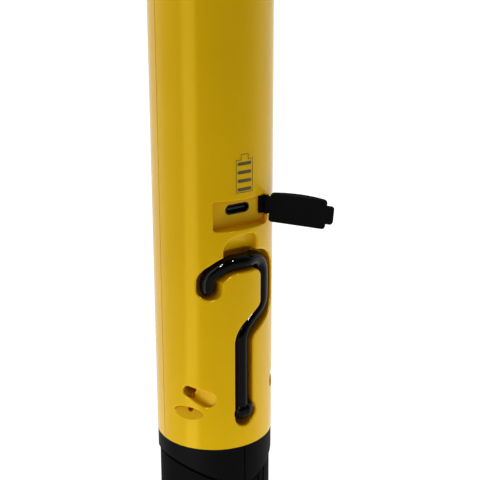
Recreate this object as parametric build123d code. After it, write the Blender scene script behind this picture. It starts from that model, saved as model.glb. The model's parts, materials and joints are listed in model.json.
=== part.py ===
from build123d import *
from math import atan2, cos, degrees, hypot, radians, sin, sqrt
import os

os.makedirs("parts", exist_ok=True)

# A handheld pinpointer probe. Millimetres, +Z along the barrel towards the probe tip.
# The origin is the centre of the foot of the rear boot. The hook and the charging port face -Y,
# the power button faces +Y. Heights named "above the ring" start at the joint of barrel and rear cap.

# Barrel, two moulded halves that part on the XZ plane
body_radius = 20.0
shell_wall = 2.4
ring_height = 34.0
barrel_height = 154.0
shoulder_height = 14.0
shoulder_top_radius = 17.0
top_plate = 5.0
top_edge_fillet = 1.2
seam_width = 0.24
seam_depth = 0.3
slack = 0.15
overshoot = 1.0

# Rear cap, rear boot and their seal
collar_inset = 0.1
collar_side_drop = 6.1
collar_point_drop = 16.6
collar_point_fillet = 12.0
collar_seam_gap = 1.0
collar_seam_width = 0.5
collar_seam_depth = 0.4
cap_core_inset = 2.6
cap_wall = 2.0
cap_plate = 3.0
spigot_height = 5.4
boot_inset = 0.7
boot_base = 2.0
boot_edge_fillet = 1.4
grip_groove_count = 7
grip_groove_pitch = 10.2
grip_groove_radius = 0.6
grip_groove_foot = 5.0
foot_recess_radius = 11.0
foot_pad_radius = 2.6
foot_recess_depth = 0.8
sound_hole_radius = 1.0
sound_hole_ring = 6.0
sound_hole_count = 6
bulkhead_thickness = 4.0
seal_radius = 0.9
seal_squash = 0.1

# Hook of bent round bar, curved to the barrel, and its groove
hook_radius = 2.6
hook_depth = 3.0
hook_jog_low = 41.5
hook_jog_high = 48.5
hook_bar_height = 66.0
hook_bend_height = 61.5
hook_tip_height = 57.9
hook_side_angle = 35.5
hook_mid_angle = 9.0
hook_bend_angle = 17.0
hook_tip_angle = 37.2
hook_bends = (7.0, 6.0, 6.0, 7.0, 8.0, 4.0)
pivot_height = 12.6
knuckle_radius = 3.2
knuckle_left = 2.9
knuckle_right = 4.0
knuckle_fillet = 2.6
pin_radius = 1.0
pin_clearance = 0.05
pin_seat = 2.6
groove_half_width = 3.4
groove_foot_gap = 1.6
groove_side_shift = 0.63
groove_top_shift = 0.6
groove_tip_shift = 0.5
groove_bends = (7.0, 6.0, 6.5, 8.0, 4.0)
groove_floor_gap = 1.2
groove_wall = 1.6
pocket_clearance = 1.0
pivot_block_height = 9.5

# Finger scoop over the hook's bar
scoop_left = 7.0
scoop_right = 5.1
scoop_top = 76.2
scoop_corners = (5.5, 2.6)
scoop_top_depth = 2.6
scoop_hollow = 2.0
groove_lip = 0.5

# Charging port, its recess and its rubber cover
port_height = 83.8
recess_length = 19.9
recess_height = 10.1
recess_drop = 0.8
recess_depth = 4.5
recess_corner = 1.1
recess_wall = 1.6
recess_lip = 0.35
usb_width = 8.94
usb_height = 3.26
usb_depth = 7.35
usb_wall = 0.3
usb_fit = 0.12
tongue_width = 6.7
tongue_thickness = 0.7
tongue_setback = 0.9
cover_gap = 0.2
cover_inset = 0.1
cover_floor_gap = 1.2
cover_end_gap = 0.65
cover_corner = 1.0
cover_tab_length = 2.4
cover_tab_height = 6.0
cover_tab_thickness = 1.1
cover_open_angle = 135.0
cover_droop = 4.5
hinge_offset = 0.4
hinge_depth = 3.0
hinge_barrel_radius = 0.8
hinge_gap = 0.3
neck_height = 5.6
neck_thickness = 1.0
anchor_length = 3.2
anchor_thickness = 0.8
anchor_peg_radius = 1.1
anchor_head_radius = 1.4
anchor_head = 1.0
notch_gap = 0.5

# Charge gauge: a row of slot windows above the port
gauge_rise = 7.7
gauge_pitch = 2.8
gauge_count = 4
window_length = 5.2
window_height = 1.15
window_fit = 0.06
light_pipe_base = 1.2
light_pipe_margin = 0.9
led_size = 1.2

# Lanyard eyes, one each side of the hook: a ramp slot, a dish below it and a bore between them
eye_angle = 47.3
eye_height = 19.85
eye_span = 6.4
eye_rise = 1.15
eye_deep_radius = 2.0
eye_shallow_radius = 2.85
eye_hole_depth = 9.5
eye_deep = 3.4
eye_shallow = 0.35
eye_wall = 1.4
dish_angle = 57.5
dish_height = 13.1
dish_half_length = 5.3
dish_half_height = 2.1
dish_deep = 2.2
dish_shallow = 0.2
eye_bore_radius = 1.2
eye_bore_depth = 2.3
eye_bore_angle = 56.5
eye_block_radius = 5.2
eye_lip = 0.4
right_eye_turn = 12.0

# Battery and its cradle
cell_radius = 9.1
cell_length = 65.0
cell_button_radius = 2.6
cell_button_height = 1.0
cradle_wall = 1.0
cradle_lip = 2.5
contact_thickness = 0.4
contact_radius = 5.0
cell_edge = 0.5

# Boards and what stands on them
board_thickness = 1.6
charge_board_half_width = 9.4
charge_board_margin = 8.0
main_board_half_width = 10.0
main_board_length = 40.0
main_board_gap = 24.0
main_board_inset = 14.0
post_radius = 2.0
post_margin = 0.2
board_screw_radius = 0.8
board_screw_head_radius = 1.6
board_screw_head = 1.0
board_screw_length = 4.5
chip_size = 7.0
chip_height = 1.2

# Power button and its switch
button_drop = 23.0
button_radius = 6.0
button_edge = 0.8
button_proud = 1.0
button_travel = 0.8
button_gap = 0.25
button_flange = 1.4
button_flange_thickness = 1.2
button_stem_radius = 1.9
button_dish_depth = 0.5
button_dish_radius = 24.0
switch_size = 6.0
switch_body = 3.5
plunger_radius = 1.6
plunger_proud = 1.3
plunger_clearance = 0.08

# Vibration motor
motor_radius = 3.5
motor_length = 12.0
motor_offset = 4.4
motor_clip_wall = 0.7
motor_edge = 0.4
shaft_radius = 0.5
shaft_clearance = 0.06
shaft_end = 0.5
weight_radius = 3.0
weight_length = 4.0
weight_gap = 0.8

# Buzzer under the cap's plate
buzzer_radius = 8.0
buzzer_height = 6.0
buzzer_edge = 0.6

# Torch in the shoulder
torch_lens_radius = 2.0
torch_lens_length = 2.2
torch_lens_edge = 0.4
torch_gap = 0.1
torch_led_radius = 1.8

# Probe tube, scuff cap and coil
probe_base_radius = 11.8
probe_tip_radius = 10.0
probe_reach = 68.0
probe_wall = 1.6
probe_foot_bore = 10.2
probe_flange_radius = 14.0
probe_flange_thickness = 2.4
rib_thickness = 2.2
scuff_length = 38.0
scuff_wall = 1.5
scuff_fit = 0.1
scuff_bead = 0.5
scuff_bead_count = 3
scuff_bead_pitch = 4.0
bobbin_length = 50.0
bobbin_radius = 6.2
bobbin_flange = 1.4
ferrite_radius = 4.0
ferrite_fit = 0.08
winding_height = 1.2
winding_inset = 0.4

# Screws
boss_radius = 2.8
boss_inset = 4.2
boss_depth = 7.6
boss_rib = 1.6
shell_screw_heights = (30.0, 96.0)
shell_screw_drop = 10.0
shell_screw_radius = 1.1
shell_screw_head_radius = 2.3
shell_screw_head = 1.8
shell_screw_edge = 0.5
shell_screw_seat = 9.0
shell_screw_bite = 5.2
counterbore_clearance = 0.4
screw_clearance = 0.2
driver_slot = 0.9
driver_length = 2.8
cap_screw_inset = 3.0
cap_screw_angle = 45.0
cap_screw_radius = 1.2
cap_screw_head_radius = 2.2
cap_screw_head = 1.6
cap_screw_bite = 3.4

# Levels and radii that follow from the sizes above
shoulder_z = ring_height + barrel_height
shell_top = shoulder_z + shoulder_height
top_plate_z = shell_top - top_plate
shell_bore = body_radius - shell_wall
boss_offset = shell_bore - boss_inset
boot_radius = body_radius - boot_inset
cap_core_radius = body_radius - cap_core_inset
cap_cavity_radius = cap_core_radius - cap_wall
cap_screw_ring = cap_cavity_radius - cap_screw_inset
probe_opening = probe_base_radius + slack
pivot_z = ring_height + pivot_height
hook_ring = body_radius - hook_depth
groove_floor = hook_ring - hook_radius - groove_floor_gap
hook_side_x = hook_ring * sin(radians(hook_side_angle))
hook_tip_x = hook_ring * sin(radians(hook_tip_angle))
deep_hook = hook_ring * cos(radians(hook_tip_angle))
groove_flat = deep_hook - hook_radius - groove_floor_gap / 2
port_z = ring_height + port_height
recess_z = port_z - recess_drop
recess_floor = body_radius - recess_depth
recess_half = recess_length / 2
cover_half_height = recess_height / 2 - cover_gap
cover_inner = recess_floor + cover_floor_gap
cover_root = recess_half - cover_end_gap
cover_radius = body_radius - cover_inset
hinge_x = recess_half + hinge_offset
hinge_n = body_radius - hinge_depth
bulkhead_z = ring_height + spigot_height + slack
cradle_z = bulkhead_z + bulkhead_thickness + slack
cell_z = cradle_z + cradle_wall + contact_thickness
cell_y = shell_bore - slack - cradle_wall - cell_radius - slack
usb_front = recess_floor
charge_board_face = usb_front - usb_depth
charge_board_low = port_z - charge_board_margin
charge_board_high = port_z + gauge_rise + gauge_pitch * gauge_count + charge_board_margin / 4
button_z = shoulder_z - button_drop
main_board_low = button_z - main_board_gap
main_board_high = main_board_low + main_board_length
main_board_plane = body_radius - main_board_inset
flange_z = top_plate_z - rib_thickness - probe_flange_thickness - 2 * slack
probe_tip_z = shell_top + probe_reach
scuff_z = probe_tip_z - scuff_length
long = 4 * body_radius
stretch = probe_tip_z + long


def cylinder(radius, low, high, x=0.0, y=0.0):
    """Upright cylinder between two heights."""
    return Pos(x, y, (low + high) / 2) * Cylinder(radius, high - low)


def ring(outer, inner, low, high):
    return cylinder(outer, low, high) - cylinder(inner, low - overshoot, high + overshoot)


def block(x, y, z):
    """Box from three (low, high) pairs."""
    size = Box(x[1] - x[0], y[1] - y[0], z[1] - z[0])
    return Pos((x[0] + x[1]) / 2, (y[0] + y[1]) / 2, (z[0] + z[1]) / 2) * size


def crossbar(radius, x, y, z):
    """Cylinder along X between two places."""
    return Pos((x[0] + x[1]) / 2, y, z) * Rot(0, 90, 0) * Cylinder(radius, x[1] - x[0])


def rod(radius, y, x, z):
    """Cylinder along Y between two places."""
    return Pos(x, (y[0] + y[1]) / 2, z) * Rot(90, 0, 0) * Cylinder(radius, y[1] - y[0])


def front_plane(depth):
    """Sketch plane that faces -Y, this far out from the axis: its x is X and its y is Z."""
    return Plane.XZ.offset(depth)


def out_from(depth, sketch):
    """Sketch of the front carried outwards past the barrel."""
    return extrude(front_plane(depth) * sketch, long - depth)


def on_ring(radius, angle, z):
    """Point beside the axis, the angle counted from -Y towards +X."""
    return Vector(radius * sin(radians(angle)), -radius * cos(radians(angle)), z)


def side_plane(radius, angle, z):
    """Sketch plane that faces outwards at this angle."""
    turn = radians(angle)
    return Plane(
        origin=on_ring(radius, angle, z),
        x_dir=(cos(turn), sin(turn), 0),
        z_dir=(sin(turn), -cos(turn), 0),
    )


def half_space(front):
    """Everything on the -Y side, or on the +Y side."""
    side = (-long, 0) if front else (0, long)
    return block((-long, long), side, (-long, stretch))


# ---------- barrel ----------


def barrel_outline(radius, top_radius):
    """Solid of the barrel and its shoulder, from the joint ring up."""
    line = Line((0, ring_height), (radius, ring_height))
    side = Line((radius, ring_height), (radius, shoulder_z))
    shoulder = TangentArc((radius, shoulder_z), (top_radius, shell_top), tangent=(0, 1))
    top = Line((top_radius, shell_top), (0, shell_top))
    axis = Line((0, shell_top), (0, ring_height))
    face = make_face(Plane.XZ * (line + side + shoulder + top + axis))
    return revolve(face, Axis.Z)


def wall_core():
    """What joins the wall from inside ends halfway through it."""
    return cylinder(body_radius - shell_wall / 2, ring_height, shoulder_z)


def barrel_tube():
    outer = barrel_outline(body_radius, shoulder_top_radius)
    rim = outer.edges().filter_by(GeomType.CIRCLE).group_by(Axis.Z)[-1]
    outer = fillet(rim, top_edge_fillet)
    inner = barrel_outline(shell_bore, shoulder_top_radius - shell_wall)
    inner -= cylinder(long, top_plate_z, stretch)
    body = outer - inner - cylinder(probe_opening, ring_height, stretch)
    for low in (flange_z - slack - rib_thickness, top_plate_z - rib_thickness):
        rib = ring(shell_bore + slack, probe_opening, low, low + rib_thickness)
        body += rib & outer
    bulkhead_top = bulkhead_z + bulkhead_thickness
    body += cylinder(shell_bore + slack, bulkhead_z, bulkhead_top) & outer
    for side in (-1, 1):
        x = side * (body_radius - seam_depth / 2)
        seam = Box(seam_depth, seam_width, 2 * stretch)
        body -= Pos(x, 0, 0) * seam
    for angle in (cap_screw_angle, cap_screw_angle + 180):
        spot = on_ring(cap_screw_ring, angle, 0)
        top = bulkhead_z + cap_screw_bite
        body -= cylinder(cap_screw_radius, ring_height, top, spot.X, spot.Y)
    return body


def shell_boss(side, height, front):
    """Boss that a case screw passes through or bites into."""
    z = ring_height + height
    x = side * boss_offset
    if not front:
        return rod(boss_radius, (0, body_radius), x, z) & wall_core()
    across = tuple(sorted((x, side * body_radius)))
    rib = block(across, (-boss_depth, 0), (z - boss_rib / 2, z + boss_rib / 2))
    return (rod(boss_radius, (-boss_depth, 0), x, z) + rib) & wall_core()


def screw_spots():
    heights = (*shell_screw_heights, barrel_height - shell_screw_drop)
    return [(side, height) for height in heights for side in (-1, 1)]


# ---------- hook and groove ----------


def hook_path():
    """Centre line of the bar, from the knuckle to the tip, lying on a ring inside the skin."""
    points = [
        on_ring(hook_ring, 0, pivot_z),
        on_ring(hook_ring, 0, ring_height + hook_jog_low),
        on_ring(hook_ring, hook_side_angle, ring_height + hook_jog_high),
        on_ring(hook_ring, hook_side_angle, ring_height + hook_bar_height),
        on_ring(hook_ring, hook_mid_angle, ring_height + hook_bar_height),
        on_ring(hook_ring, -hook_bend_angle, ring_height + hook_bar_height),
        on_ring(hook_ring, -hook_tip_angle, ring_height + hook_bend_height),
        on_ring(hook_ring, -hook_tip_angle, ring_height + hook_tip_height),
    ]
    return FilletPolyline(*points, radius=hook_bends)


def make_hook():
    path = hook_path()
    bar = sweep(Plane(path @ 0, z_dir=path % 0) * Circle(hook_radius), path=path)
    bar += Pos(*(path @ 1)) * Sphere(hook_radius)
    knuckle = crossbar(knuckle_radius, (-knuckle_left, knuckle_right), -hook_ring, pivot_z)
    rims = knuckle.edges().filter_by(GeomType.CIRCLE)
    bar += fillet(rims, knuckle_fillet)
    return bar - crossbar(pin_radius + pin_clearance, (-long, long), -hook_ring, pivot_z)


def groove_sketch(half_width):
    """Outline of the groove on the front plane, the hook's path with room on its outer side."""
    foot = ring_height + pivot_height - groove_foot_gap
    side = hook_side_x + groove_side_shift
    bar = ring_height + hook_bar_height + groove_top_shift
    bend_x = hook_ring * sin(radians(hook_bend_angle)) + groove_tip_shift / 2
    tip = hook_tip_x + groove_tip_shift
    line = FilletPolyline(
        (0, foot),
        (0, ring_height + hook_jog_low),
        (side, ring_height + hook_jog_high),
        (side, bar),
        (-bend_x, bar),
        (-tip, ring_height + hook_bend_height + groove_top_shift),
        (-tip, ring_height + hook_tip_height),
        radius=groove_bends,
    )
    outline = make_face(offset(line, half_width, kind=Kind.ARC, side=Side.BOTH))
    widened = half_width - groove_half_width + knuckle_radius + pocket_clearance
    middle = (knuckle_right - knuckle_left) / 2
    return outline + Pos(middle, pivot_z) * Circle(widened)


def scoop_sketch(margin):
    """Outline of the scoop: square at its foot, which is inside the groove, and round on top."""
    foot = ring_height + hook_bar_height
    top = ring_height + scoop_top + margin
    line = FilletPolyline(
        (-scoop_left - margin, foot),
        (-scoop_left - margin, top),
        (scoop_right + margin, top),
        (scoop_right + margin, foot),
        radius=[corner + margin for corner in scoop_corners],
    )
    return make_face(line + Line(line @ 1, line @ 0))


def recess_sketch(margin):
    size = (recess_length + 2 * margin, recess_height + 2 * margin)
    return Pos(0, recess_z) * RectangleRounded(*size, recess_corner + margin)


def groove_backing():
    """Wall that closes the groove and the scoop towards the inside."""
    groove = out_from(groove_flat - groove_wall, groove_sketch(groove_half_width + groove_wall))
    groove -= cylinder(groove_floor - groove_wall, -long, stretch)
    scoop = out_from(groove_floor - groove_wall, scoop_sketch(groove_wall))
    pivot = block(
        (-knuckle_left - pin_seat - groove_wall, knuckle_right + pin_seat + groove_wall),
        (-long, -groove_floor + groove_wall),
        (pivot_z - pivot_block_height / 2, pivot_z + pivot_block_height / 2),
    )
    return (groove + scoop + pivot) & wall_core()


def groove_cut():
    groove = out_from(groove_flat, groove_sketch(groove_half_width))
    groove -= cylinder(groove_floor, -long, stretch)
    return groove + scoop_cut()


def scoop_cut():
    """Room for a fingertip: its floor climbs from the groove's, and is hollowed towards its sides."""
    top_depth = body_radius - scoop_top_depth
    lean = degrees(atan2(top_depth - groove_floor, scoop_top - hook_bar_height))
    floor = Pos(0, -top_depth, ring_height + scoop_top) * Rot(lean, 0, 0)
    scoop = out_from(groove_floor, scoop_sketch(0))
    scoop -= floor * Pos(0, long / 2, 0) * Box(long, long, 2 * long)
    slope = scoop.faces().filter_by(lambda face: abs(face.normal_at().Y * face.normal_at().Z) > 0.1)
    return fillet(slope.edges().sort_by(Axis.Z)[1:], scoop_hollow)


def pin_bore(radius):
    ends = (-knuckle_left - pin_seat, knuckle_right + pin_seat)
    return crossbar(radius, ends, -hook_ring, pivot_z)


# ---------- lanyard eyes ----------


def eye_outline(margin):
    """Slot of the left eye, wider at its shallow end, which points at the hook."""
    deep = Vector(-eye_span / 2, eye_rise)
    shallow = Vector(eye_span / 2, -eye_rise)
    deep_radius = eye_deep_radius + margin
    shallow_radius = eye_shallow_radius + margin
    away = (deep - shallow).normalized()
    lean = (shallow_radius - deep_radius) / (deep - shallow).length
    across = Vector(-away.Y, away.X) * sqrt(1 - lean**2)
    left = away * lean + across
    right = away * lean - across
    low = Line(deep + left * deep_radius, shallow + left * shallow_radius)
    round_shallow = ThreePointArc(
        low @ 1, shallow - away * shallow_radius, shallow + right * shallow_radius
    )
    high = Line(round_shallow @ 1, deep + right * deep_radius)
    round_deep = ThreePointArc(high @ 1, deep + away * deep_radius, low @ 0)
    return make_face(low + round_shallow + high + round_deep)


def eye_plane():
    return side_plane(0, -eye_angle, ring_height + eye_height)


def eye_backing():
    """Wall behind the left eye's slot, and the post that its bore runs through."""
    floor = body_radius - eye_hole_depth - eye_wall
    slot = Pos(0, 0, floor) * eye_outline(eye_wall)
    slot = extrude(eye_plane() * slot, body_radius)
    spot = on_ring(body_radius - eye_bore_depth - eye_wall, -eye_bore_angle, 0)
    low = ring_height + dish_height - dish_half_height - eye_wall
    post = cylinder(eye_block_radius, low, ring_height + eye_height, spot.X, spot.Y)
    return (slot & wall_core()) + (post & wall_core())


def under_slope(middle, rise, run, turn):
    """Everything below a floor that climbs along the sketch's x, or y where it is turned."""
    lean = degrees(atan2(rise, run))
    floor = Pos(*middle) * Rot(0, 0, turn) * Rot(0, -lean, 0)
    return floor * Pos(0, 0, -long / 2) * Box(2 * long, 2 * long, long)


def slot_cut():
    reach = eye_span / 2 + eye_shallow_radius
    low = body_radius - eye_deep
    high = sqrt(body_radius**2 - reach**2) - eye_shallow
    run = eye_span + eye_deep_radius + eye_shallow_radius
    middle = (reach - run / 2, 0, (low + high) / 2)
    slot = extrude(eye_outline(0), 2 * body_radius)
    slot -= under_slope(middle, high - low, run, 0)
    hole = Pos(-eye_span / 2, eye_rise, body_radius - eye_hole_depth)
    slot += hole * extrude(Circle(eye_deep_radius), body_radius)
    return eye_plane() * slot


def dish_cut():
    plane = side_plane(0, -dish_angle, ring_height + dish_height)
    dish = extrude(Ellipse(dish_half_length, dish_half_height), 2 * body_radius)
    depth = body_radius - (dish_deep + dish_shallow) / 2
    dish -= under_slope((0, 0, depth), dish_deep - dish_shallow, 2 * dish_half_height, -90)
    return plane * dish


def eye_bore():
    spot = on_ring(body_radius - eye_bore_depth, -eye_bore_angle, 0)
    low = ring_height + dish_height
    return cylinder(eye_bore_radius, low, ring_height + eye_height, spot.X, spot.Y)


def on_right(left_eye):
    """The right eye sits a little further round the barrel than a mirror image would."""
    return Rot(0, 0, right_eye_turn) * mirror(left_eye, Plane.YZ)


def soften(shell, radius, x, z):
    """Rounds the edges that lie on the barrel's skin between these places, heights above the ring."""
    edges = []
    for edge in shell.edges():
        spots = [edge @ place for place in (0, 0.25, 0.5, 0.75, 1)]
        on_skin = all(abs(hypot(spot.X, spot.Y) - body_radius) < 0.01 for spot in spots)
        across = all(x[0] < spot.X < x[1] for spot in spots)
        along = all(z[0] < spot.Z - ring_height < z[1] for spot in spots)
        if on_skin and across and along:
            edges.append(edge)
    return fillet(edges, radius)


# ---------- charging port ----------


def usb_outline(grow):
    width = usb_width + 2 * grow
    height = usb_height + 2 * grow
    return Pos(0, port_z) * SlotOverall(width, height)


def notch_sketch():
    """Side notch that lets the cover's strap out of the recess."""
    half = neck_height / 2 + notch_gap
    right = hinge_x + hinge_barrel_radius + notch_gap
    left = recess_half - recess_corner
    middle = ((left + right) / 2, port_z)
    return Pos(*middle) * RectangleRounded(right - left, 2 * half, notch_gap)


def port_cut():
    cut = out_from(recess_floor, recess_sketch(0))
    cut += out_from(recess_floor, notch_sketch())
    cut += extrude(front_plane(0) * usb_outline(usb_fit), body_radius)
    peg = rod(anchor_peg_radius + slack / 3, (-recess_floor - overshoot, 0), anchor_peg_x(), port_z)
    return cut + peg


def port_backing():
    sketch = recess_sketch(recess_wall) + offset(notch_sketch(), recess_wall)
    backing = out_from(recess_floor - recess_wall, sketch)
    return backing & wall_core()


def gauge_heights():
    first = port_z + gauge_rise
    return [first + number * gauge_pitch for number in range(gauge_count)]


def window_sketch(grow):
    windows = Sketch()
    for z in gauge_heights():
        windows += Pos(0, z) * SlotOverall(window_length + 2 * grow, window_height + 2 * grow)
    return windows


def usb_receptacle():
    shell = extrude(front_plane(charge_board_face) * usb_outline(0), usb_depth)
    hollow = extrude(front_plane(charge_board_face + usb_wall) * usb_outline(-usb_wall), usb_depth)
    return shell - hollow


def usb_tongue():
    size = Box(tongue_width, usb_depth - tongue_setback - usb_wall, tongue_thickness)
    y = -(charge_board_face + usb_wall + usb_front - tongue_setback) / 2
    return Pos(0, y, port_z) * size


def light_pipe():
    """Clear moulding behind the gauge: a backing strip with one finger for each window."""
    seat = shell_bore - light_pipe_base
    fingers = extrude(front_plane(seat) * window_sketch(-window_fit), long)
    fingers &= cylinder(body_radius - window_fit, -long, stretch)
    heights = gauge_heights()
    low = heights[0] - window_height / 2 - light_pipe_margin
    high = heights[-1] + window_height / 2 + light_pipe_margin
    half = window_length / 2 + light_pipe_margin
    strip = block((-half, half), (-long, -seat), (low, high))
    strip &= cylinder(shell_bore - slack / 2, -long, stretch)
    return fingers + strip


def gauge_leds():
    """Tall side-view lamps that reach from the board to the light pipe."""
    depth = shell_bore - light_pipe_base - slack
    lamps = [
        block(
            (-led_size, led_size),
            (-depth, -charge_board_face),
            (z - led_size / 2, z + led_size / 2),
        )
        for z in gauge_heights()
    ]
    return Compound(lamps)


# ---------- port cover ----------


def anchor_left():
    return hinge_x + hinge_barrel_radius - anchor_length


def anchor_peg_x():
    """The peg stands where its head stays clear of the round wall."""
    return anchor_left() + anchor_head_radius


def hinge_axis_direction():
    """The strap sags as it opens, so its axis leans a little away from upright."""
    lean = sin(radians(cover_droop)) / 2
    return Vector(lean, -lean * (sqrt(2) - 1), 1)


def hinge_axis():
    return Axis((hinge_x, -hinge_n, port_z), hinge_axis_direction())


def closed_cover():
    """Cover in its recess: flat inside, rounded like the barrel outside, with a pull tab."""
    length = cover_root + recess_half - cover_end_gap
    middle = (cover_root - length / 2, recess_z)
    outline = Pos(*middle) * RectangleRounded(length, 2 * cover_half_height, cover_corner)
    plate = out_from(cover_inner, outline) & cylinder(cover_radius, -long, stretch)
    end = cover_root - length
    tab_out = cover_inner + cover_tab_thickness
    half = cover_tab_height / 2
    tab = block(
        (end - cover_tab_length, end + cover_corner),
        (-tab_out, -cover_inner),
        (recess_z - half, recess_z + half),
    )
    tips = tab.edges().filter_by(Axis.Y).group_by(Axis.X)[0]
    tab = fillet(tips, cover_corner)
    neck = block(
        (cover_root - cover_corner, hinge_x),
        (-hinge_n - neck_thickness / 2, -hinge_n + neck_thickness / 2),
        (port_z - neck_height / 2, port_z + neck_height / 2),
    )
    barrel = cylinder(
        hinge_barrel_radius,
        port_z - neck_height / 2,
        port_z + neck_height / 2,
        hinge_x,
        -hinge_n,
    )
    return plate + tab + neck + barrel


def port_cover():
    """Cover swung out to where it stays when the port is in use."""
    return closed_cover().rotate(hinge_axis(), cover_open_angle)


def cover_anchor():
    """Foot of the strap on the recess floor, with a peg that snaps through the wall."""
    foot = block(
        (anchor_left(), hinge_x + hinge_barrel_radius),
        (-recess_floor - anchor_thickness, -recess_floor),
        (port_z - neck_height / 2, port_z + neck_height / 2),
    )
    foot -= cylinder(hinge_barrel_radius + hinge_gap, -long, stretch, hinge_x, -hinge_n)
    inside = recess_floor - recess_wall
    peg = rod(anchor_peg_radius, (-recess_floor, -inside + anchor_head), anchor_peg_x(), port_z)
    head = rod(anchor_head_radius, (-inside, -inside + anchor_head), anchor_peg_x(), port_z)
    return foot + peg + head


# ---------- the two shells ----------


def board_posts(low, high, half_width, face, out):
    """Places of a board's four posts, and a post from the wall to the board's face."""
    inset = post_radius + post_margin
    spots = [
        (x, z)
        for x in (inset - half_width, half_width - inset)
        for z in (low + inset, high - inset)
    ]
    posts = [rod(post_radius, tuple(sorted((face, out))), x, z) for x, z in spots]
    return spots, posts


def charge_posts():
    return board_posts(
        charge_board_low,
        charge_board_high,
        charge_board_half_width,
        -charge_board_face,
        -shell_bore - overshoot,
    )


def main_posts():
    return board_posts(
        main_board_low,
        main_board_high,
        main_board_half_width,
        main_board_plane + board_thickness,
        shell_bore + overshoot,
    )


def front_shell():
    shell = barrel_tube() & half_space(True)
    shell += groove_backing()
    shell += port_backing()
    shell += eye_backing()
    shell += on_right(eye_backing()) & half_space(True)
    for side, height in screw_spots():
        shell += shell_boss(side, height, True)
        bite = (-shell_screw_bite, 0)
        shell -= rod(shell_screw_radius, bite, side * boss_offset, ring_height + height)
    spots, posts = charge_posts()
    for (x, z), post in zip(spots, posts):
        shell += post & wall_core()
        depth = (-charge_board_face - board_screw_length, -charge_board_face)
        shell -= rod(board_screw_radius, depth, x, z)
    shell -= groove_cut()
    shell -= port_cut()
    shell -= extrude(front_plane(0) * window_sketch(0), long)
    for cut in (slot_cut(), dish_cut(), eye_bore()):
        shell -= cut
        shell -= on_right(cut)
    eye_low = dish_height - 2 * dish_half_height
    eye_high = eye_height + 2 * eye_shallow_radius
    for side in (-1, 1):
        reach = sorted((side * (groove_half_width + groove_wall), side * body_radius))
        shell = soften(shell, eye_lip, reach, (eye_low, eye_high))
    foot = pivot_height - knuckle_radius - 2 * pocket_clearance
    groove_x = hook_tip_x + groove_half_width + groove_wall
    shell = soften(shell, groove_lip, (-groove_x, groove_x), (foot, scoop_top + slack))
    recess_foot = port_height - recess_drop - recess_height / 2 - slack
    recess_top = recess_foot + recess_height + 2 * slack
    shell = soften(shell, recess_lip, (-recess_half - slack, recess_half - slack), (recess_foot, recess_top))
    return shell - pin_bore(pin_radius)


def back_shell():
    shell = barrel_tube() & half_space(False)
    for side, height in screw_spots():
        x = side * boss_offset
        z = ring_height + height
        shell += shell_boss(side, height, False)
        shell -= rod(shell_screw_radius + screw_clearance, (0, body_radius), x, z)
        head = shell_screw_head_radius + counterbore_clearance
        shell -= rod(head, (shell_screw_seat, long), x, z)
    spots, posts = main_posts()
    face = main_board_plane + board_thickness
    for (x, z), post in zip(spots, posts):
        shell += post & wall_core()
        shell -= rod(board_screw_radius, (face, face + board_screw_length), x, z)
    shell -= rod(button_radius + button_gap, (0, long), 0, button_z)
    torch_foot = flange_z + probe_flange_thickness
    shell -= cylinder(torch_lens_radius + torch_gap, torch_foot, stretch, 0, torch_y())
    return shell


# ---------- rear end ----------


def collar_zone(grow):
    """All above the V of the collar's edge, which dips at the front and at the back."""
    slope = (collar_point_drop - collar_side_drop) / body_radius
    low = ring_height - collar_point_drop - grow * hypot(1, slope)
    corners = [(-long, low + slope * long), (0, low), (long, low + slope * long)]
    corners += [(long, stretch), (-long, stretch)]
    outline = make_face(Polyline(*corners, close=True))
    point = outline.vertices().sort_by(Axis.Y)[0]
    outline = fillet(point, collar_point_fillet)
    return extrude(Plane.XZ * outline, long, both=True)


def rear_cap():
    collar = ring(body_radius - collar_inset, cap_core_radius - overshoot, 0, ring_height) & collar_zone(0)
    spigot_radius = shell_bore - slack
    core = cylinder(cap_core_radius, boot_base, ring_height)
    spigot = cylinder(spigot_radius, ring_height - overshoot, ring_height + spigot_height)
    cap = collar + core + spigot
    plate_low = ring_height + spigot_height - cap_plate
    cap -= cylinder(cap_cavity_radius, 0, plate_low)
    for front in (-1, 1):
        y = front * (body_radius - collar_inset)
        cap -= Pos(0, y, ring_height) * Box(collar_seam_width, 2 * collar_seam_depth, 2 * collar_point_drop)
    for angle in (cap_screw_angle, cap_screw_angle + 180):
        spot = on_ring(cap_screw_ring, angle, 0)
        hole = cap_screw_radius + screw_clearance
        cap -= cylinder(hole, plate_low - overshoot, stretch, spot.X, spot.Y)
    return cap - seal_groove(spigot_radius, ring_height + spigot_height / 2)


def seal_groove(radius, z):
    """Round-bottomed groove of a seal whose outer side stands at the bore."""
    return Pos(0, 0, z) * Torus(radius + slack - seal_radius, seal_radius + seal_squash / 2)


def o_ring(bore, z):
    return Pos(0, 0, z) * Torus(bore - seal_radius - seal_squash / 2, seal_radius)


def rear_boot():
    top = ring_height - collar_side_drop
    boot = cylinder(boot_radius, 0, top)
    foot = boot.edges().filter_by(GeomType.CIRCLE).group_by(Axis.Z)[0]
    boot = fillet(foot, boot_edge_fillet)
    boot -= collar_zone(collar_seam_gap)
    boot -= cylinder(cap_core_radius + slack / 3, boot_base, stretch)
    boot -= ring(foot_recess_radius, foot_pad_radius, 0, foot_recess_depth)
    holes = PolarLocations(sound_hole_ring, sound_hole_count)
    boot -= holes * Cylinder(sound_hole_radius, 4 * boot_base)
    middle = (grip_groove_count - 1) / 2
    for number in range(grip_groove_count):
        for facing in (0, 180):
            angle = facing + (number - middle) * grip_groove_pitch
            spot = on_ring(boot_radius, angle, 0)
            boot -= cylinder(grip_groove_radius, grip_groove_foot, stretch, spot.X, spot.Y)
    return boot


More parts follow.
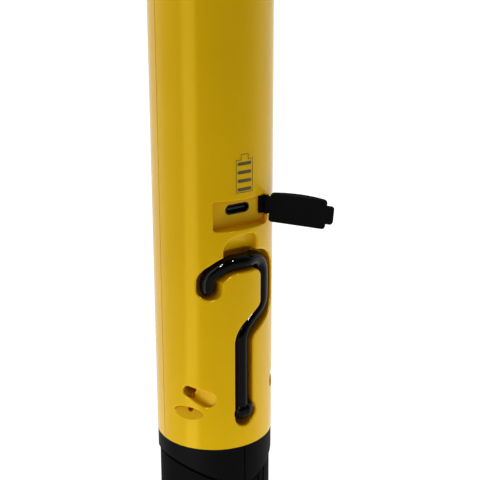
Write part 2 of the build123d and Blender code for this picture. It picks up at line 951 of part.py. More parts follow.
def buzzer():
    top = ring_height + spigot_height - cap_plate
    can = cylinder(buzzer_radius, top - buzzer_height, top)
    rim = can.edges().filter_by(GeomType.CIRCLE).group_by(Axis.Z)[0]
    can = fillet(rim, buzzer_edge)
    face = top - buzzer_height
    return can - cylinder(sound_hole_radius, face - overshoot, face + overshoot)


# ---------- battery ----------


def battery_cell():
    top = cell_z + cell_length
    can = cylinder(cell_radius, cell_z, top - cell_button_height, 0, cell_y)
    rims = can.edges().filter_by(GeomType.CIRCLE)
    can = fillet(rims, cell_edge)
    return can + cylinder(cell_button_radius, top - 2 * cell_button_height, top, 0, cell_y)


def cradle_top():
    return cell_z + cell_length + contact_thickness + cradle_wall


def battery_cradle():
    outer = cell_radius + slack + cradle_wall
    tray = cylinder(outer, cradle_z, cradle_top(), 0, cell_y)
    tray -= cylinder(
        cell_radius + slack, cradle_z + cradle_wall, cradle_top() - cradle_wall, 0, cell_y
    )
    return tray & block((-long, long), (cell_y - cradle_lip, long), (0, stretch))


def cell_contacts():
    """Spring plates at the two ends of the cell."""
    low = cylinder(contact_radius, cell_z - contact_thickness, cell_z, 0, cell_y)
    top = cell_z + cell_length
    high = cylinder(contact_radius, top, top + contact_thickness, 0, cell_y)
    keep = block((-long, long), (cell_y - cradle_lip, long), (0, stretch))
    return Compound([low & keep, high & keep])


# ---------- boards ----------


def board(low, high, half_width, y, spots):
    plate = block((-half_width, half_width), (y, y + board_thickness), (low, high))
    for x, z in spots:
        plate -= rod(board_screw_radius + screw_clearance, (y - overshoot, y + board_thickness + overshoot), x, z)
    return plate


def charge_board():
    spots = charge_posts()[0]
    face = -charge_board_face
    return board(charge_board_low, charge_board_high, charge_board_half_width, face, spots)


def main_board():
    spots = main_posts()[0]
    return board(main_board_low, main_board_high, main_board_half_width, main_board_plane, spots)


def charge_chips():
    back = board_thickness - charge_board_face
    lower = block((-chip_size / 2, chip_size / 2), (back, back + chip_height), (
        port_z - chip_size / 2,
        port_z + chip_size / 2,
    ))
    z = port_z + 2 * chip_size
    upper = block((-chip_size / 2, chip_size / 2), (back, back + chip_height), (
        z - chip_size / 2,
        z + chip_size / 2,
    ))
    return Compound([lower, upper])


def detector_chip():
    z = button_z + switch_size + chip_size
    return block((-chip_size / 2, chip_size / 2), (
        main_board_plane + board_thickness,
        main_board_plane + board_thickness + chip_height,
    ), (z - chip_size / 2, z + chip_size / 2))


def small_screw(x, z, seat, towards):
    """Pan-head screw whose head stands on a face and whose shank runs along Y."""
    head = (seat, seat - towards * board_screw_head)
    shank = (seat - towards * board_screw_head / 2, seat + towards * board_screw_run())
    body = rod(board_screw_head_radius, tuple(sorted(head)), x, z)
    return body + rod(board_screw_radius, tuple(sorted(shank)), x, z)


def board_screw_run():
    return board_thickness + board_screw_length - slack


def charge_board_screws():
    seat = board_thickness - charge_board_face
    return Compound([small_screw(x, z, seat, -1) for x, z in charge_posts()[0]])


def main_board_screws():
    return Compound([small_screw(x, z, main_board_plane, 1) for x, z in main_posts()[0]])


# ---------- button ----------


def switch_face():
    return main_board_plane + board_thickness + switch_body


def plunger_end():
    return switch_face() + plunger_proud


def power_button():
    """Rubber key: a dished cap, a flange behind the wall and a stem on the switch."""
    outer = body_radius + button_proud
    flange_out = flange_plane() - button_gap
    flange_in = flange_out - button_flange_thickness
    cap = rod(button_radius, (flange_in, outer), 0, button_z)
    rim = cap.edges().filter_by(GeomType.CIRCLE).group_by(Axis.Y)[-1]
    cap = fillet(rim, button_edge)
    dish = Pos(0, outer + button_dish_radius - button_dish_depth, button_z)
    cap -= dish * Sphere(button_dish_radius)
    cap += rod(button_radius + button_flange, (flange_in, flange_out), 0, button_z)
    return cap + rod(button_stem_radius, (plunger_end(), flange_in + button_flange_thickness / 2), 0, button_z)


def flange_plane():
    """Depth at which the round wall has room for the button's flat flange."""
    reach = button_radius + button_flange
    return sqrt(shell_bore**2 - reach**2)


def switch_body_part():
    half = switch_size / 2
    base = main_board_plane + board_thickness
    body = block((-half, half), (base, switch_face()), (button_z - half, button_z + half))
    depth = plunger_proud + button_travel
    well = (switch_face() - depth, switch_face() + overshoot)
    return body - rod(plunger_radius + plunger_clearance, well, 0, button_z)


def switch_plunger():
    inner = switch_face() - button_travel / 2
    return rod(plunger_radius, (inner, plunger_end()), 0, button_z)


# ---------- vibration motor ----------


def motor_place():
    """Axis of the motor, which runs along Z on the board's -Y face."""
    return motor_offset, main_board_plane - motor_radius - motor_clip_wall


def motor_low():
    return main_board_low + 3 * post_radius


def vibration_motor():
    x, y = motor_place()
    low = motor_low()
    can = cylinder(motor_radius, low, low + motor_length, x, y)
    rims = can.edges().filter_by(GeomType.CIRCLE)
    can = fillet(rims, motor_edge)
    well = low + motor_length / 2
    return can - cylinder(shaft_radius + shaft_clearance, well, stretch, x, y)


def motor_clip():
    """Plastic saddle between the motor and the board."""
    x, y = motor_place()
    outer = motor_radius + motor_clip_wall
    low = motor_low() + motor_length / 6
    high = motor_low() + motor_length * 5 / 6
    saddle = block((x - outer, x + outer), (y, main_board_plane), (low, high))
    return saddle - cylinder(motor_radius + slack / 3, -long, stretch, x, y)


def vibration_weight():
    """Half-round weight pressed on the motor's shaft."""
    x, y = motor_place()
    top = motor_low() + motor_length
    low = top + weight_gap
    weight = cylinder(weight_radius, low, low + weight_length, x, y)
    weight &= block((-long, long), (-long, y + shaft_radius), (0, stretch))
    shaft = cylinder(shaft_radius, top - motor_length / 3, low + weight_length + shaft_end, x, y)
    return weight + shaft


# ---------- torch ----------


def torch_y():
    """The lamp sits in the flat of the shoulder, between its rim and the probe tube."""
    return (probe_opening + shoulder_top_radius) / 2


def torch_lens():
    lens = cylinder(torch_lens_radius, shell_top - torch_lens_length, shell_top, 0, torch_y())
    rim = lens.edges().filter_by(GeomType.CIRCLE).group_by(Axis.Z)[-1]
    return fillet(rim, torch_lens_edge)


def torch_led():
    top = shell_top - torch_lens_length - slack
    low = top_plate_z - rib_thickness
    y = torch_y()
    body = cylinder(torch_led_radius, low, top - torch_led_radius, 0, y)
    dome = Pos(0, y, top - torch_led_radius) * Sphere(torch_led_radius)
    return body + dome


# ---------- probe ----------


def probe_outline(radius_low, radius_high, low, high):
    """Tapered plug with a domed end."""
    shoulder = high - radius_high
    foot = Line((0, low), (radius_low, low))
    side = Line((radius_low, low), (radius_high, shoulder))
    dome = RadiusArc((radius_high, shoulder), (0, high), -radius_high)
    axis = Line((0, high), (0, low))
    return revolve(make_face(Plane.XZ * (foot + side + dome + axis)), Axis.Z)


def probe_tube():
    inner_tip = probe_tip_z - scuff_wall
    core_radius = probe_tip_radius - scuff_wall
    straight = cylinder(probe_base_radius, flange_z, shell_top + slack)
    taper = probe_outline(probe_base_radius, probe_tip_radius, shell_top, probe_tip_z)
    waist = cylinder(long, scuff_z, stretch)
    nose = probe_outline(core_radius, core_radius, scuff_z - overshoot, inner_tip)
    tube = straight + (taper - waist) + nose
    tube += cylinder(probe_flange_radius, flange_z, flange_z + probe_flange_thickness)
    bore_top = inner_tip - core_radius
    bore = cylinder(core_radius - probe_wall, flange_z - overshoot, bore_top)
    bore += cylinder(probe_foot_bore, flange_z - overshoot, shell_top - top_plate)
    return tube - bore - probe_seal_groove()


def probe_seal_z():
    return shell_top - top_plate / 2


def probe_seal_groove():
    middle = probe_base_radius + slack - seal_radius
    return Pos(0, 0, probe_seal_z()) * Torus(middle, seal_radius + seal_squash / 2)


def scuff_cap():
    """Replaceable wear cap with grip beads round its mouth."""
    outer = probe_outline(scuff_mouth_radius(), probe_tip_radius, scuff_z, probe_tip_z)
    for number in range(scuff_bead_count):
        z = scuff_z + scuff_bead_pitch * (number + 1)
        outer += Pos(0, 0, z) * Torus(probe_tip_radius + scuff_bead, scuff_bead)
    core_radius = probe_tip_radius - scuff_wall + scuff_fit
    inner_tip = probe_tip_z - scuff_wall + scuff_fit
    return outer - probe_outline(core_radius, core_radius, scuff_z - overshoot, inner_tip)


def scuff_mouth_radius():
    """Radius of the taper where the scuff cap begins."""
    cone_length = probe_reach - probe_tip_radius
    share = (scuff_z - shell_top) / cone_length
    return probe_base_radius + (probe_tip_radius - probe_base_radius) * share


def bobbin_top():
    return probe_tip_z - probe_tip_radius - slack


def coil_bobbin():
    low = bobbin_top() - bobbin_length
    bore = probe_tip_radius - scuff_wall - probe_wall
    flange = bore - slack
    spool = cylinder(bobbin_radius - winding_height, low, bobbin_top())
    for z in (low, (low + bobbin_top() - bobbin_flange) / 2, bobbin_top() - bobbin_flange):
        spool += cylinder(flange, z, z + bobbin_flange)
    return spool - cylinder(ferrite_radius + ferrite_fit, low - overshoot, stretch)


def ferrite_rod():
    low = bobbin_top() - bobbin_length
    return cylinder(ferrite_radius, low + bobbin_flange / 2, bobbin_top() - bobbin_flange / 2)


def winding(upper):
    """Copper winding between two flanges of the bobbin."""
    low = bobbin_top() - bobbin_length
    middle = (low + bobbin_top() - bobbin_flange) / 2
    start = middle if upper else low
    end = bobbin_top() - bobbin_flange if upper else middle
    inner = bobbin_radius - winding_height
    return ring(bobbin_radius, inner, start + bobbin_flange + winding_inset, end - winding_inset)


# ---------- screws ----------


def shell_screws():
    """Case screws, driven from the +Y side."""
    screws = []
    for side, height in screw_spots():
        x = side * boss_offset
        z = ring_height + height
        top = shell_screw_seat + shell_screw_head
        head = rod(shell_screw_head_radius, (shell_screw_seat, top), x, z)
        rim = head.edges().filter_by(GeomType.CIRCLE).group_by(Axis.Y)[-1]
        head = fillet(rim, shell_screw_edge)
        run = (slack - shell_screw_bite, shell_screw_seat + overshoot)
        shank = rod(shell_screw_radius, run, x, z)
        cross = Box(driver_length, driver_slot, driver_slot / 2)
        cross += Box(driver_slot / 2, driver_slot, driver_length)
        screws.append(head + shank - Pos(x, top, z) * cross)
    return Compound(screws)


def cap_screws():
    """Screws that pull the rear cap up against the bulkhead."""
    screws = []
    seat = ring_height + spigot_height - cap_plate
    for angle in (cap_screw_angle, cap_screw_angle + 180):
        spot = on_ring(cap_screw_ring, angle, 0)
        head = cylinder(cap_screw_head_radius, seat - cap_screw_head, seat, spot.X, spot.Y)
        top = bulkhead_z + cap_screw_bite - slack
        shank = cylinder(cap_screw_radius, seat - cap_screw_head / 2, top, spot.X, spot.Y)
        screws.append(head + shank)
    return Compound(screws)


def pivot_pin():
    return pin_bore(pin_radius)


nodes = {
    "hook_side_shell": front_shell(),
    "button_side_shell": back_shell(),
    "rear_cap": rear_cap(),
    "rear_boot": rear_boot(),
    "rear_seal_ring": o_ring(shell_bore, ring_height + spigot_height / 2),
    "rear_cap_screws": cap_screws(),
    "buzzer": buzzer(),
    "shell_screws": shell_screws(),
    "belt_hook": make_hook(),
    "hook_pivot_pin": pivot_pin(),
    "port_cover": port_cover(),
    "port_cover_anchor": cover_anchor(),
    "usb_receptacle": usb_receptacle(),
    "usb_tongue": usb_tongue(),
    "gauge_light_pipe": light_pipe(),
    "gauge_leds": gauge_leds(),
    "charge_board": charge_board(),
    "charge_board_chips": charge_chips(),
    "charge_board_screws": charge_board_screws(),
    "battery_cell": battery_cell(),
    "battery_cradle": battery_cradle(),
    "battery_contacts": cell_contacts(),
    "main_board": main_board(),
    "main_board_screws": main_board_screws(),
    "detector_chip": detector_chip(),
    "power_button": power_button(),
    "button_switch": switch_body_part(),
    "switch_plunger": switch_plunger(),
    "vibration_motor": vibration_motor(),
    "motor_saddle": motor_clip(),
    "vibration_weight": vibration_weight(),
    "torch_led": torch_led(),
    "torch_lens": torch_lens(),
    "probe_tube": probe_tube(),
    "probe_seal_ring": o_ring(probe_opening, probe_seal_z()),
    "scuff_cap": scuff_cap(),
    "coil_bobbin": coil_bobbin(),
    "ferrite_rod": ferrite_rod(),
    "transmit_winding": winding(False),
    "receive_winding": winding(True),
}

for name, shape in nodes.items():
    export_step(shape, f"parts/{name}.step")
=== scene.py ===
import json
from math import cos, pi, radians, sin

import bmesh
import bpy
from mathutils import Matrix, Vector

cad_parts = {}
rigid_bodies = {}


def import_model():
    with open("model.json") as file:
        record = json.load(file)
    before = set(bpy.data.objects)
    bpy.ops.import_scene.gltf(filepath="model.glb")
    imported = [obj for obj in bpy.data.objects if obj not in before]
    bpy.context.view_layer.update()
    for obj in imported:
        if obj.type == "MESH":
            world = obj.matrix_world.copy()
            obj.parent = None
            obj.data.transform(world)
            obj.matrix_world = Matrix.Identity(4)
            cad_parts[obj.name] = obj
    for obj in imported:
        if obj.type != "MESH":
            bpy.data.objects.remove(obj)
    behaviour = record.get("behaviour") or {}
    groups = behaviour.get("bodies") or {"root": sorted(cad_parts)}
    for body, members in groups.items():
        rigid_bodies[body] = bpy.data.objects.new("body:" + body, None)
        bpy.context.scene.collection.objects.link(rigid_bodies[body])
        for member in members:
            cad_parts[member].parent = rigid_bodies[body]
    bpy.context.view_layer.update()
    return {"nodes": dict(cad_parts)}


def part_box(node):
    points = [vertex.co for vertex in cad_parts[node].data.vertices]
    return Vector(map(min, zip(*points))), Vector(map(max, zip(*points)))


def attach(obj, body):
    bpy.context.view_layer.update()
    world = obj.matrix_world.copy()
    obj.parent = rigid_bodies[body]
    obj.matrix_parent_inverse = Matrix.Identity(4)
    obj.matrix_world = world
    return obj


for leftover in list(bpy.data.objects):
    bpy.data.objects.remove(leftover)

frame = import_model()
cadNodes = frame["nodes"]
print("frame loaded:", len(cadNodes), "pieces")

mm = 0.001  # every size below is in millimetres, times this


# ---------- small helpers ----------

def linearColour(hexText):  # sRGB hex to the linear colour that shaders take
    parts = [int(hexText[i : i + 2], 16) / 255 for i in (1, 3, 5)]
    return [p / 12.92 if p <= 0.04045 else ((p + 0.055) / 1.055) ** 2.4 for p in parts] + [1]


def addNode(tree, kind, settings=None, links=None):
    # names that start with a small letter are the node's own settings, the rest are its sockets
    node = tree.nodes.new(kind)
    for name, value in (settings or {}).items():
        if isinstance(name, str) and name[0].islower():
            setattr(node, name, value)
        else:
            node.inputs[name].default_value = value
    for name, source in (links or {}).items():
        tree.links.new(source, node.inputs[name])
    return node


def startMaterial(name, shaderSettings):
    material = bpy.data.materials.new(name)
    material.use_nodes = True
    tree = material.node_tree
    tree.nodes.clear()
    shader = addNode(tree, "ShaderNodeBsdfPrincipled", shaderSettings)
    output = addNode(tree, "ShaderNodeOutputMaterial", links={"Surface": shader.outputs[0]})
    output.is_active_output = True
    place = addNode(tree, "ShaderNodeTexCoord").outputs["Object"]
    return material, tree, shader, place


def blotches(tree, place, size, detail=2.0):  # soft noise, in patches of this many millimetres
    settings = {"Scale": 1 / (size * mm), "Detail": detail}
    return addNode(tree, "ShaderNodeTexNoise", settings, {"Vector": place})


def paintBetween(tree, shader, noise, low, high):  # base colour wanders between two near shades
    ramp = addNode(tree, "ShaderNodeValToRGB", links={"Fac": noise.outputs["Fac"]})
    ramp.color_ramp.elements[0].position = 0.3
    ramp.color_ramp.elements[0].color = linearColour(low)
    ramp.color_ramp.elements[1].position = 0.7
    ramp.color_ramp.elements[1].color = linearColour(high)
    tree.links.new(ramp.outputs["Color"], shader.inputs["Base Color"])


def roughBetween(tree, shader, noise, low, high):
    spread = addNode(
        tree, "ShaderNodeMapRange", {"To Min": low, "To Max": high}, {"Value": noise.outputs["Fac"]}
    )
    tree.links.new(spread.outputs["Result"], shader.inputs["Roughness"])


def bumpFrom(tree, shader, height, depth):  # depth in millimetres
    settings = {"Strength": 1.0, "Distance": depth * mm}
    bump = addNode(tree, "ShaderNodeBump", settings, {"Height": height})
    tree.links.new(bump.outputs["Normal"], shader.inputs["Normal"])


def paintHollowShade(tree, shader, hollow):  # painted shade: in hollows, found by ambient occlusion, the base colour is mixed towards a deeper colour, standing in for light that bounces about in a corner and gains colour
    openColour = shader.inputs["Base Color"].links[0].from_socket
    depth = addNode(
        tree,
        "ShaderNodeAmbientOcclusion",
        {"samples": hollow["rays"], "Distance": hollow["reach"] * mm},
    )
    share = addNode(
        tree,
        "ShaderNodeMapRange",
        {"From Min": hollow["deep"], "From Max": 1},
        {"Value": depth.outputs["AO"]},
    )
    mixed = addNode(
        tree,
        "ShaderNodeMixRGB",
        {"Color1": linearColour(hollow["colour"])},
        {"Fac": share.outputs["Result"], "Color2": openColour},
    )
    tree.links.new(mixed.outputs["Color"], shader.inputs["Base Color"])


def startSkin(name, look):
    # shade and gloss that change slowly over the surface
    material, tree, shader, place = startMaterial(name, look["shader"])
    paintBetween(tree, shader, blotches(tree, place, look["patch"]), *look["colours"])
    glossNoise = blotches(tree, place, look["glossPatch"], look.get("glossDetail", 2.0))
    roughBetween(tree, shader, glossNoise, *look["roughness"])
    return material, tree, shader, place


def grainedSkin(name, look):
    # such a skin under an even grain, swell or crinkle
    material, tree, shader, place = startSkin(name, look)
    # painted shade: where the look asks for it, the base colour deepens in hollows
    if "hollow" in look:
        paintHollowShade(tree, shader, look["hollow"])
    grain = blotches(tree, place, look["grain"], look["grainDetail"])
    bumpFrom(tree, shader, grain.outputs["Fac"], look["grainDepth"])
    return material


def ringMarks(tree, place, mark, uneven=0.0):  # level bands about this many millimetres apart
    settings = {"wave_type": "BANDS", "bands_direction": "Z", "Distortion": uneven}
    settings["Scale"] = pi / (10 * mark * mm)
    return addNode(tree, "ShaderNodeTexWave", settings, {"Vector": place})


# ---------- materials ----------

# ABS, injection moulded in a spark-eroded mould: even pigment, a satin skin with a fine grain
absLook = {
    "colours": ("#D1A603", "#D6AB06"),
    "patch": 40,
    "glossPatch": 16,
    "glossDetail": 4,
    "roughness": (0.16, 0.2),
    "grain": 0.32,  # the real grain is finer, about 0.1
    "grainDetail": 1,
    "grainDepth": 0.004,
    # painted shade: the yellow is mixed towards this deeper orange in hollows, also round the hook
    # in its groove
    "hollow": {"colour": "#D08803", "reach": 3.5, "deep": 0.25, "rays": 8},
    "shader": {
        "IOR": 1.53,
        "Specular IOR Level": 0.8,
        "Specular Tint": (1, 0.74, 0.08, 1),
        "Subsurface Weight": 0.3,
        "Subsurface Radius": (1, 0.4, 0.08),
        "Subsurface Scale": 1.6 * mm,
    },
}

# glass-filled nylon: a dry, nearly matt skin, a little lighter where fibres lie close under it
nylonLook = {
    "colours": ("#070707", "#0A0A0A"),
    "patch": 12,
    "glossPatch": 5,
    "glossDetail": 4,
    "roughness": (0.5, 0.62),
    "grain": 0.4,
    "grainDetail": 1,
    "grainDepth": 0.02,
    "shader": {"IOR": 1.53, "Specular IOR Level": 0.06},
}

# thermoplastic rubber, moulded: matt, soft edges of light, faint bloom of dust in the grain
rubberLook = {
    "colours": ("#040404", "#060606"),
    "patch": 9,
    "glossPatch": 4,
    "glossDetail": 4,
    "roughness": (0.66, 0.8),
    "grain": 0.35,
    "grainDetail": 1,
    "grainDepth": 0.018,
    "shader": {"IOR": 1.52, "Specular IOR Level": 0.05},
}

# mineral-filled nylon of the probe: like the cap, a shade greyer and rougher from use
probeLook = {
    "colours": ("#1A1A1B", "#252526"),
    "patch": 10,
    "glossPatch": 3,
    "glossDetail": 4,
    "roughness": (0.45, 0.6),
    "grain": 0.5,
    "grainDetail": 1,
    "grainDepth": 0.025,
    "shader": {"IOR": 1.53},
}

# natural nylon: milky white, slightly waxy
whiteNylonLook = {
    "colours": ("#D9D8D2", "#E3E2DC"),
    "patch": 8,
    "glossPatch": 3,
    "glossDetail": 4,
    "roughness": (0.38, 0.5),
    "grain": 0.4,
    "grainDetail": 1,
    "grainDepth": 0.01,
    "shader": {"IOR": 1.53, "Subsurface Weight": 0.15, "Subsurface Scale": 2 * mm},
}

# moulded epoxy of chips, relays and the buzzer's case: dark grey, dusty matt
epoxyLook = {
    "colours": ("#1B1B1D", "#232325"),
    "patch": 3,
    "glossPatch": 1.5,
    "glossDetail": 4,
    "roughness": (0.5, 0.62),
    "grain": 0.15,
    "grainDetail": 1,
    "grainDepth": 0.01,
    "shader": {"IOR": 1.55},
}

# printed mark: pad-printing ink, thin and a little uneven
inkLook = {
    "colours": ("#4A3A08", "#2E2508"),
    "patch": 1.2,
    "glossPatch": 1,
    "glossDetail": 4,
    "roughness": (0.5, 0.6),
    "grain": 0.2,
    "grainDetail": 1,
    "grainDepth": 0.004,
    "shader": {"IOR": 1.5},
}

# thick glossy black coat over bent steel rod: nearly a mirror, with a slow orange-peel swell
dippedLook = {
    "colours": ("#050506", "#08080A"),
    "patch": 9,
    "glossPatch": 4,
    "glossDetail": 3,
    "roughness": (0.04, 0.08),
    "grain": 2.6,
    "grainDetail": 1,
    "grainDepth": 0.02,
    "shader": {"IOR": 1.5, "Specular IOR Level": 0.2},
}

# black-nickel-plated steel of the socket's shell: dark, with a soft metallic glint
darkNickelLook = {
    "colours": ("#3E3E40", "#4A4A4C"),
    "patch": 2,
    "glossPatch": 0.8,
    "roughness": (0.22, 0.32),
    "grain": 0.25,
    "grainDetail": 1,
    "grainDepth": 0.004,
    "shader": {"Metallic": 1.0},
}

# smoked polycarbonate light pipe: brown-grey, clear enough to look deep
smokedLook = {
    "colours": ("#57472C", "#655438"),
    "patch": 3,
    "glossPatch": 1.5,
    "roughness": (0.18, 0.28),
    "grain": 2.0,
    "grainDetail": 0,
    "grainDepth": 0.01,
    "shader": {"IOR": 1.58, "Transmission Weight": 0.25},
}

# polished clear polycarbonate: water-clear, with a trace of flow lines
lensLook = {
    "colours": ("#EDF1F2", "#F6F8F8"),
    "patch": 2,
    "glossPatch": 1,
    "roughness": (0.03, 0.08),
    "grain": 1.4,
    "grainDetail": 0,
    "grainDepth": 0.006,
    "shader": {"IOR": 1.58, "Transmission Weight": 0.9},
}

# printed PVC sleeve shrunk on the cell: blue, glossy, with faint crinkles round the ends
shrinkLook = {
    "colours": ("#1F4C93", "#2759A6"),
    "patch": 14,
    "glossPatch": 3,
    "roughness": (0.16, 0.26),
    "grain": 1.8,
    "grainDetail": 2,
    "grainDepth": 0.03,
    "shader": {"IOR": 1.53},
}

# sintered ferrite: charcoal grey, fine-grained like fired clay
ferriteLook = {
    "colours": ("#26272A", "#313236"),
    "patch": 1.5,
    "glossPatch": 1,
    "roughness": (0.45, 0.6),
    "grain": 0.2,
    "grainDetail": 3,
    "grainDepth": 0.03,
    "shader": {"IOR": 2.2},
}

# zinc-plated steel: pale blue-grey, with turning marks that run round the shank
steelLook = {
    "colours": ("#A9ACB0", "#BDC0C3"),
    "patch": 2.5,
    "glossPatch": 1.2,
    "glossDetail": 3,
    "roughness": (0.28, 0.4),
    "mark": 0.754,  # the real marks are finer, about 0.1
    "markUneven": 1.5,
    "markDepth": 0.006,
    "shader": {"Metallic": 1.0},
}

# glass-epoxy board under green solder mask: darker over bare board, lighter over copper tracks
boardLook = {
    "bare": "#0F3D22",
    "copper": "#1C6136",
    "track": 1.6,
    "trackUneven": 0.4,
    "trackShare": 0.12,
    "trackDepth": 0.03,
    "glossPatch": 1.5,
    "roughness": (0.25, 0.35),
    "shader": {"IOR": 1.5},
}

# fine enamelled wire wound in close layers: warm copper with the ribbing of each turn
copperLook = {
    "colours": ("#8A4A20", "#B5672F"),
    "wire": 0.3,
    "ribDepth": 0.08,
    "glossPatch": 1,
    "roughness": (0.25, 0.35),
    "shader": {"Metallic": 1.0, "Coat Weight": 0.3},
}

# deep-drawn can of the motor: bright nickel with faint lines along the draw
drawnLook = {
    "colours": ("#B9B8B2", "#CAC9C4"),
    "line": 0.2,
    "squeeze": 0.04,  # how much shorter the pattern is along the draw, before it is drawn out
    "roughness": (0.2, 0.34),
    "lineDepth": 0.004,
    "shader": {"Metallic": 1.0},
}


def makeTurnedSteel():
    material, tree, shader, place = startSkin("turnedSteel", steelLook)
    marks = ringMarks(tree, place, steelLook["mark"], steelLook["markUneven"])
    bumpFrom(tree, shader, marks.outputs["Fac"], steelLook["markDepth"])
    return material


def makeSolderMask():
    material, tree, shader, place = startMaterial("solderMask", boardLook["shader"])
    settings = {"feature": "DISTANCE_TO_EDGE", "Randomness": boardLook["trackUneven"]}
    settings["Scale"] = 1 / (boardLook["track"] * mm)
    cells = addNode(tree, "ShaderNodeTexVoronoi", settings, {"Vector": place})
    ramp = addNode(tree, "ShaderNodeValToRGB", links={"Fac": cells.outputs["Distance"]})
    ramp.color_ramp.interpolation = "CONSTANT"
    ramp.color_ramp.elements[0].color = linearColour(boardLook["copper"])
    ramp.color_ramp.elements[1].position = boardLook["trackShare"]
    ramp.color_ramp.elements[1].color = linearColour(boardLook["bare"])
    tree.links.new(ramp.outputs["Color"], shader.inputs["Base Color"])
    glossNoise = blotches(tree, place, boardLook["glossPatch"])
    roughBetween(tree, shader, glossNoise, *boardLook["roughness"])
    bumpFrom(tree, shader, cells.outputs["Distance"], boardLook["trackDepth"])
    return material


def makeEnamelledCopper():
    material, tree, shader, place = startMaterial("enamelledCopper", copperLook["shader"])
    ribs = ringMarks(tree, place, copperLook["wire"])
    paintBetween(tree, shader, ribs, *copperLook["colours"])
    glossNoise = blotches(tree, place, copperLook["glossPatch"])
    roughBetween(tree, shader, glossNoise, *copperLook["roughness"])
    bumpFrom(tree, shader, ribs.outputs["Fac"], copperLook["ribDepth"])
    return material


def makeDrawnNickel():
    material, tree, shader, place = startMaterial("drawnNickel", drawnLook["shader"])
    drawnOut = {"Scale": (1, 1, drawnLook["squeeze"])}
    stretched = addNode(tree, "ShaderNodeMapping", drawnOut, {"Vector": place})
    lines = blotches(tree, stretched.outputs["Vector"], drawnLook["line"])
    paintBetween(tree, shader, lines, *drawnLook["colours"])
    roughBetween(tree, shader, lines, *drawnLook["roughness"])
    bumpFrom(tree, shader, lines.outputs["Fac"], drawnLook["lineDepth"])
    return material


padInk = grainedSkin("padInk", inkLook)
finishes = {
    "yellow_shell": grainedSkin("yellowAbs", absLook),
    "black_cap": grainedSkin("textureNylon", nylonLook),
    "black_rubber": grainedSkin("softRubber", rubberLook),
    "gloss_black": grainedSkin("dippedBlack", dippedLook),
    "black_metal": grainedSkin("darkNickel", darkNickelLook),
    "smoked_window": grainedSkin("smokedPolycarbonate", smokedLook),
    "clear_lens": grainedSkin("clearPolycarbonate", lensLook),
    "steel": makeTurnedSteel(),
    "circuit_board": makeSolderMask(),
    "chip_black": grainedSkin("mouldedEpoxy", epoxyLook),
    "cell_wrap": grainedSkin("shrinkWrap", shrinkLook),
    "white_plastic": grainedSkin("naturalNylon", whiteNylonLook),
    "probe_black": grainedSkin("probeNylon", probeLook),
    "copper_wire": makeEnamelledCopper(),
    "ferrite": grainedSkin("sinteredFerrite", ferriteLook),
    "motor_steel": makeDrawnNickel(),
}
for cadNode in cadNodes.values():
    for materialSlot in cadNode.material_slots:
        materialSlot.material = finishes[materialSlot.material.name.split(".")[0]]
print("materials made and given to the pieces:", len(finishes))


# ---------- printed battery outline round the gauge windows ----------

gaugePrint = {
    "halfWidth": 3.15,
    "foot": 5.3,  # below the middle of the light pipe, which stands square behind the windows
    "head": 5.6,  # above it
    "nubHalfWidth": 1.4,
    "nubHeight": 1.7,
    "line": 0.2,
    "proud": 0.02,
    "bends": 11,  # cuts in each level line, so that it follows the barrel
}


def makeGaugePrint():
    low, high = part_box("gauge_light_pipe")
    barrel = abs(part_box("hook_side_shell")[0].x) + gaugePrint["proud"] * mm
    middle = (low.z + high.z) / 2
    foot = middle - gaugePrint["foot"] * mm
    head = middle + gaugePrint["head"] * mm
    top = head + gaugePrint["nubHeight"] * mm
    half = gaugePrint["halfWidth"] * mm
    nub = gaugePrint["nubHalfWidth"] * mm
    corners = [(-half, foot), (half, foot), (half, head), (nub, head)]
    corners += [(nub, top), (-nub, top), (-nub, head), (-half, head)]
    shape = bmesh.new()
    sheet = shape.faces.new([shape.verts.new((x, 0, z)) for x, z in corners])
    sheet.normal_update()
    line = gaugePrint["line"] * mm
    bmesh.ops.inset_region(
        shape, faces=[sheet], thickness=line, use_even_offset=True, use_boundary=True
    )
    bmesh.ops.delete(shape, geom=[sheet], context="FACES_ONLY")
    level = [e for e in shape.edges if abs(e.verts[0].co.z - e.verts[1].co.z) < line / 10]
    cuts = gaugePrint["bends"]
    bmesh.ops.subdivide_edges(shape, edges=level, cuts=cuts, use_grid_fill=True)
    for point in shape.verts:
        turn = point.co.x / barrel
        point.co = Vector((barrel * sin(turn), -barrel * cos(turn), point.co.z))
    shape.normal_update()
    if sum(face.normal.y for face in shape.faces) > 0:
        bmesh.ops.reverse_faces(shape, faces=shape.faces)
    mesh = bpy.data.meshes.new("gaugePrint")
    shape.to_mesh(mesh)
    shape.free()
    mesh.materials.append(padInk)
    piece = bpy.data.objects.new("gaugePrint", mesh)
    bpy.context.scene.collection.objects.link(piece)
    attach(piece, "root")


makeGaugePrint()
print("gauge print made")


# ---------- studio ----------

camera = {
    "place": (-199.3, -331.7, 238.8),
    "turn": 32.357,  # degrees from +Y towards +X
    "dip": 19.421,
    "roll": -0.108,
    "lens": 91.59,
    "sensor": 36,
    "nearest": 10,
}
